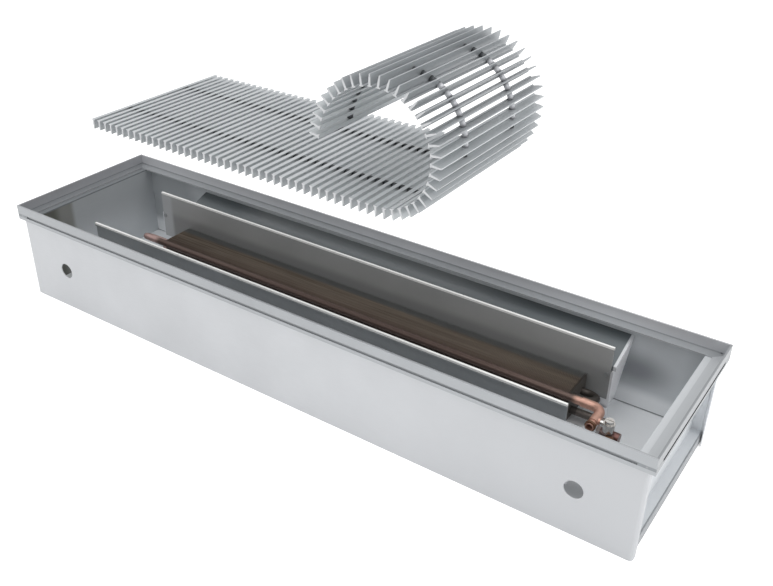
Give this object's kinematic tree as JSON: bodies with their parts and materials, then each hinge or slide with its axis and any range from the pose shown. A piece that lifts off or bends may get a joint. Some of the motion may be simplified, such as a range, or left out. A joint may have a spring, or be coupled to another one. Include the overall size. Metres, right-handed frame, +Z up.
{
  "type": "trench convector heater",
  "caption": "Floor-recessed trench convector: open sheet trough with edging frame, finned heat exchanger between guide plates and a roll-up slatted grille lifted above it.",
  "frame": {"origin": "centre of the trough's underside, on the subfloor", "axes": "+X along the trench towards the pipe connections, +Y across it towards the wall side, +Z up"},
  "size_m": [1.2, 0.3, 0.5647],
  "materials": {
    "galvanised_front": "zinc-plated sheet, matt",
    "galvanised_rear": "zinc-plated sheet, matt",
    "galvanised_floor": "zinc-plated sheet, matt",
    "galvanised_end": "zinc-plated sheet, matt",
    "frame_aluminium": "natural anodised",
    "key_zinc": "zinc plated",
    "screw_steel": "zinc plated",
    "guide_paint": "matt anthracite",
    "deflector_paint": "matt anthracite",
    "bracket_sheet": "zinc-plated sheet",
    "fin_lacquer": "thin dark lacquer over metal fins",
    "copper_tube": "drawn copper",
    "copper_dark": "tarnished copper",
    "brass_nut": "dull brass",
    "nickel_plate": "nickel plated",
    "grille_aluminium": "natural anodised",
    "roll_aluminium": "natural anodised",
    "spacer_dark": "dark plastic sleeve"
  },
  "bodies": {
    "trough": {"front_side_panel": "galvanised_front", "rear_side_panel": "galvanised_rear", "trough_floor": "galvanised_floor", "left_end_wall": "galvanised_end", "right_end_wall": "galvanised_end", "frame_front": "frame_aluminium", "frame_rear": "frame_aluminium", "frame_left": "frame_aluminium", "frame_right": "frame_aluminium", "frame_corner_keys": "key_zinc", "sheet_screws": "screw_steel", "front_guide_plate": "guide_paint", "rear_guide_plate": "guide_paint", "air_deflector": "deflector_paint", "deflector_end_plates": "bracket_sheet", "exchanger_brackets": "bracket_sheet", "fin_pack": "fin_lacquer", "tube_bends": "copper_tube", "supply_pipe": "copper_tube", "return_pipe": "copper_dark", "union_nuts": "brass_nut", "return_fitting": "copper_dark", "air_vent_body": "nickel_plate"},
    "grille": {"grille_flat_slats": "grille_aluminium", "grille_flat_spacers": "spacer_dark", "roll_slat_01": "roll_aluminium"},
    "vent_knob": {"air_vent_knob": "nickel_plate"},
    "roll_slat_02_body": {"roll_slat_02": "roll_aluminium"},
    "roll_slat_03_body": {"roll_slat_03": "roll_aluminium"},
    "roll_slat_04_body": {"roll_slat_04": "roll_aluminium"},
    "roll_slat_05_body": {"roll_slat_05": "roll_aluminium"},
    "roll_slat_06_body": {"roll_slat_06": "roll_aluminium"},
    "roll_slat_07_body": {"roll_slat_07": "roll_aluminium"},
    "roll_slat_08_body": {"roll_slat_08": "roll_aluminium"},
    "roll_slat_09_body": {"roll_slat_09": "roll_aluminium"},
    "roll_slat_10_body": {"roll_slat_10": "roll_aluminium"},
    "roll_slat_11_body": {"roll_slat_11": "roll_aluminium"},
    "roll_slat_12_body": {"roll_slat_12": "roll_aluminium"},
    "roll_slat_13_body": {"roll_slat_13": "roll_aluminium"},
    "roll_slat_14_body": {"roll_slat_14": "roll_aluminium"},
    "roll_slat_15_body": {"roll_slat_15": "roll_aluminium"},
    "roll_slat_16_body": {"roll_slat_16": "roll_aluminium"},
    "roll_slat_17_body": {"roll_slat_17": "roll_aluminium"},
    "roll_slat_18_body": {"roll_slat_18": "roll_aluminium"},
    "roll_slat_19_body": {"roll_slat_19": "roll_aluminium"},
    "roll_slat_20_body": {"roll_slat_20": "roll_aluminium"},
    "roll_slat_21_body": {"roll_slat_21": "roll_aluminium"},
    "roll_slat_22_body": {"roll_slat_22": "roll_aluminium"},
    "roll_slat_23_body": {"roll_slat_23": "roll_aluminium"},
    "roll_slat_24_body": {"roll_slat_24": "roll_aluminium"},
    "roll_slat_25_body": {"roll_slat_25": "roll_aluminium"},
    "roll_slat_26_body": {"roll_slat_26": "roll_aluminium"},
    "roll_slat_27_body": {"roll_slat_27": "roll_aluminium"},
    "roll_slat_28_body": {"roll_slat_28": "roll_aluminium"},
    "roll_slat_29_body": {"roll_slat_29": "roll_aluminium"},
    "roll_slat_30_body": {"roll_slat_30": "roll_aluminium"},
    "roll_slat_31_body": {"roll_slat_31": "roll_aluminium"}
  },
  "joints": [
    {"name": "grille_lift", "type": "slide", "parent": "trough", "child": "grille", "axis": [0, 0, 1], "range_m": [-0.2137, 0]},
    {"name": "vent_knob_turn", "type": "hinge", "parent": "trough", "child": "vent_knob", "pos_m": [0.495, -0.02, 0.1], "axis": [0, 0, 1], "range_deg": [0, 180]},
    {"name": "roll_02", "type": "hinge", "parent": "grille", "child": "roll_slat_02_body", "pos_m": [0.1934, 0, 0.3866], "axis": [0, -1, 0], "range_deg": [-10.6, 0.6]},
    {"name": "roll_03", "type": "hinge", "parent": "roll_slat_02_body", "child": "roll_slat_03_body", "pos_m": [0.20637, 0, 0.38903], "axis": [0, -1, 0], "range_deg": [-9.54, 0.54]},
    {"name": "roll_04", "type": "hinge", "parent": "roll_slat_03_body", "child": "roll_slat_04_body", "pos_m": [0.21877, 0, 0.39357], "axis": [0, -1, 0], "range_deg": [-9.47, 0.54]},
    {"name": "roll_05", "type": "hinge", "parent": "roll_slat_04_body", "child": "roll_slat_05_body", "pos_m": [0.23024, 0, 0.40009], "axis": [0, -1, 0], "range_deg": [-9.41, 0.53]},
    {"name": "roll_06", "type": "hinge", "parent": "roll_slat_05_body", "child": "roll_slat_06_body", "pos_m": [0.2405, 0, 0.4084], "axis": [0, -1, 0], "range_deg": [-9.34, 0.53]},
    {"name": "roll_07", "type": "hinge", "parent": "roll_slat_06_body", "child": "roll_slat_07_body", "pos_m": [0.24927, 0, 0.41827], "axis": [0, -1, 0], "range_deg": [-9.28, 0.53]},
    {"name": "roll_08", "type": "hinge", "parent": "roll_slat_07_body", "child": "roll_slat_08_body", "pos_m": [0.25634, 0, 0.42942], "axis": [0, -1, 0], "range_deg": [-9.22, 0.52]},
    {"name": "roll_09", "type": "hinge", "parent": "roll_slat_08_body", "child": "roll_slat_09_body", "pos_m": [0.26152, 0, 0.44156], "axis": [0, -1, 0], "range_deg": [-9.15, 0.52]},
    {"name": "roll_10", "type": "hinge", "parent": "roll_slat_09_body", "child": "roll_slat_10_body", "pos_m": [0.26472, 0, 0.45436], "axis": [0, -1, 0], "range_deg": [-9.09, 0.51]},
    {"name": "roll_11", "type": "hinge", "parent": "roll_slat_10_body", "child": "roll_slat_11_body", "pos_m": [0.26584, 0, 0.46752], "axis": [0, -1, 0], "range_deg": [-9.02, 0.51]},
    {"name": "roll_12", "type": "hinge", "parent": "roll_slat_11_body", "child": "roll_slat_12_body", "pos_m": [0.2649, 0, 0.48068], "axis": [0, -1, 0], "range_deg": [-8.96, 0.51]},
    {"name": "roll_13", "type": "hinge", "parent": "roll_slat_12_body", "child": "roll_slat_13_body", "pos_m": [0.26191, 0, 0.49354], "axis": [0, -1, 0], "range_deg": [-8.9, 0.5]},
    {"name": "roll_14", "type": "hinge", "parent": "roll_slat_13_body", "child": "roll_slat_14_body", "pos_m": [0.25697, 0, 0.50578], "axis": [0, -1, 0], "range_deg": [-8.83, 0.5]},
    {"name": "roll_15", "type": "hinge", "parent": "roll_slat_14_body", "child": "roll_slat_15_body", "pos_m": [0.25021, 0, 0.51712], "axis": [0, -1, 0], "range_deg": [-8.77, 0.5]},
    {"name": "roll_16", "type": "hinge", "parent": "roll_slat_15_body", "child": "roll_slat_16_body", "pos_m": [0.2418, 0, 0.52729], "axis": [0, -1, 0], "range_deg": [-8.7, 0.49]},
    {"name": "roll_17", "type": "hinge", "parent": "roll_slat_16_body", "child": "roll_slat_17_body", "pos_m": [0.23195, 0, 0.53608], "axis": [0, -1, 0], "range_deg": [-8.64, 0.49]},
    {"name": "roll_18", "type": "hinge", "parent": "roll_slat_17_body", "child": "roll_slat_18_body", "pos_m": [0.22089, 0, 0.54328], "axis": [0, -1, 0], "range_deg": [-8.58, 0.49]},
    {"name": "roll_19", "type": "hinge", "parent": "roll_slat_18_body", "child": "roll_slat_19_body", "pos_m": [0.20887, 0, 0.54876], "axis": [0, -1, 0], "range_deg": [-8.51, 0.48]},
    {"name": "roll_20", "type": "hinge", "parent": "roll_slat_19_body", "child": "roll_slat_20_body", "pos_m": [0.19619, 0, 0.55239], "axis": [0, -1, 0], "range_deg": [-8.45, 0.48]},
    {"name": "roll_21", "type": "hinge", "parent": "roll_slat_20_body", "child": "roll_slat_21_body", "pos_m": [0.1831, 0, 0.55413], "axis": [0, -1, 0], "range_deg": [-8.38, 0.47]},
    {"name": "roll_22", "type": "hinge", "parent": "roll_slat_21_body", "child": "roll_slat_22_body", "pos_m": [0.1699, 0, 0.55393], "axis": [0, -1, 0], "range_deg": [-8.32, 0.47]},
    {"name": "roll_23", "type": "hinge", "parent": "roll_slat_22_body", "child": "roll_slat_23_body", "pos_m": [0.15687, 0, 0.55183], "axis": [0, -1, 0], "range_deg": [-8.26, 0.47]},
    {"name": "roll_24", "type": "hinge", "parent": "roll_slat_23_body", "child": "roll_slat_24_body", "pos_m": [0.14427, 0, 0.54788], "axis": [0, -1, 0], "range_deg": [-8.19, 0.46]},
    {"name": "roll_25", "type": "hinge", "parent": "roll_slat_24_body", "child": "roll_slat_25_body", "pos_m": [0.13237, 0, 0.54217], "axis": [0, -1, 0], "range_deg": [-8.13, 0.46]},
    {"name": "roll_26", "type": "hinge", "parent": "roll_slat_25_body", "child": "roll_slat_26_body", "pos_m": [0.12139, 0, 0.53484], "axis": [0, -1, 0], "range_deg": [-8.06, 0.46]},
    {"name": "roll_27", "type": "hinge", "parent": "roll_slat_26_body", "child": "roll_slat_27_body", "pos_m": [0.11155, 0, 0.52605], "axis": [0, -1, 0], "range_deg": [-8, 0.45]},
    {"name": "roll_28", "type": "hinge", "parent": "roll_slat_27_body", "child": "roll_slat_28_body", "pos_m": [0.10303, 0, 0.51596], "axis": [0, -1, 0], "range_deg": [-7.94, 0.45]},
    {"name": "roll_29", "type": "hinge", "parent": "roll_slat_28_body", "child": "roll_slat_29_body", "pos_m": [0.09599, 0, 0.5048], "axis": [0, -1, 0], "range_deg": [-7.87, 0.45]},
    {"name": "roll_30", "type": "hinge", "parent": "roll_slat_29_body", "child": "roll_slat_30_body", "pos_m": [0.09054, 0, 0.49278], "axis": [0, -1, 0], "range_deg": [-7.81, 0.44]},
    {"name": "roll_31", "type": "hinge", "parent": "roll_slat_30_body", "child": "roll_slat_31_body", "pos_m": [0.08677, 0, 0.48013], "axis": [0, -1, 0], "range_deg": [-7.74, 0.44]}
  ],
  "couplings": [
    {"joint": "roll_03", "follows": "roll_02", "ratio": 0.89962},
    {"joint": "roll_04", "follows": "roll_02", "ratio": 0.89358},
    {"joint": "roll_05", "follows": "roll_02", "ratio": 0.88755},
    {"joint": "roll_06", "follows": "roll_02", "ratio": 0.88151},
    {"joint": "roll_07", "follows": "roll_02", "ratio": 0.87547},
    {"joint": "roll_08", "follows": "roll_02", "ratio": 0.86943},
    {"joint": "roll_09", "follows": "roll_02", "ratio": 0.8634},
    {"joint": "roll_10", "follows": "roll_02", "ratio": 0.85736},
    {"joint": "roll_11", "follows": "roll_02", "ratio": 0.85132},
    {"joint": "roll_12", "follows": "roll_02", "ratio": 0.84528},
    {"joint": "roll_13", "follows": "roll_02", "ratio": 0.83925},
    {"joint": "roll_14", "follows": "roll_02", "ratio": 0.83321},
    {"joint": "roll_15", "follows": "roll_02", "ratio": 0.82717},
    {"joint": "roll_16", "follows": "roll_02", "ratio": 0.82113},
    {"joint": "roll_17", "follows": "roll_02", "ratio": 0.81509},
    {"joint": "roll_18", "follows": "roll_02", "ratio": 0.80906},
    {"joint": "roll_19", "follows": "roll_02", "ratio": 0.80302},
    {"joint": "roll_20", "follows": "roll_02", "ratio": 0.79698},
    {"joint": "roll_21", "follows": "roll_02", "ratio": 0.79094},
    {"joint": "roll_22", "follows": "roll_02", "ratio": 0.78491},
    {"joint": "roll_23", "follows": "roll_02", "ratio": 0.77887},
    {"joint": "roll_24", "follows": "roll_02", "ratio": 0.77283},
    {"joint": "roll_25", "follows": "roll_02", "ratio": 0.76679},
    {"joint": "roll_26", "follows": "roll_02", "ratio": 0.76075},
    {"joint": "roll_27", "follows": "roll_02", "ratio": 0.75472},
    {"joint": "roll_28", "follows": "roll_02", "ratio": 0.74868},
    {"joint": "roll_29", "follows": "roll_02", "ratio": 0.74264},
    {"joint": "roll_30", "follows": "roll_02", "ratio": 0.7366},
    {"joint": "roll_31", "follows": "roll_02", "ratio": 0.73057}
  ]
}
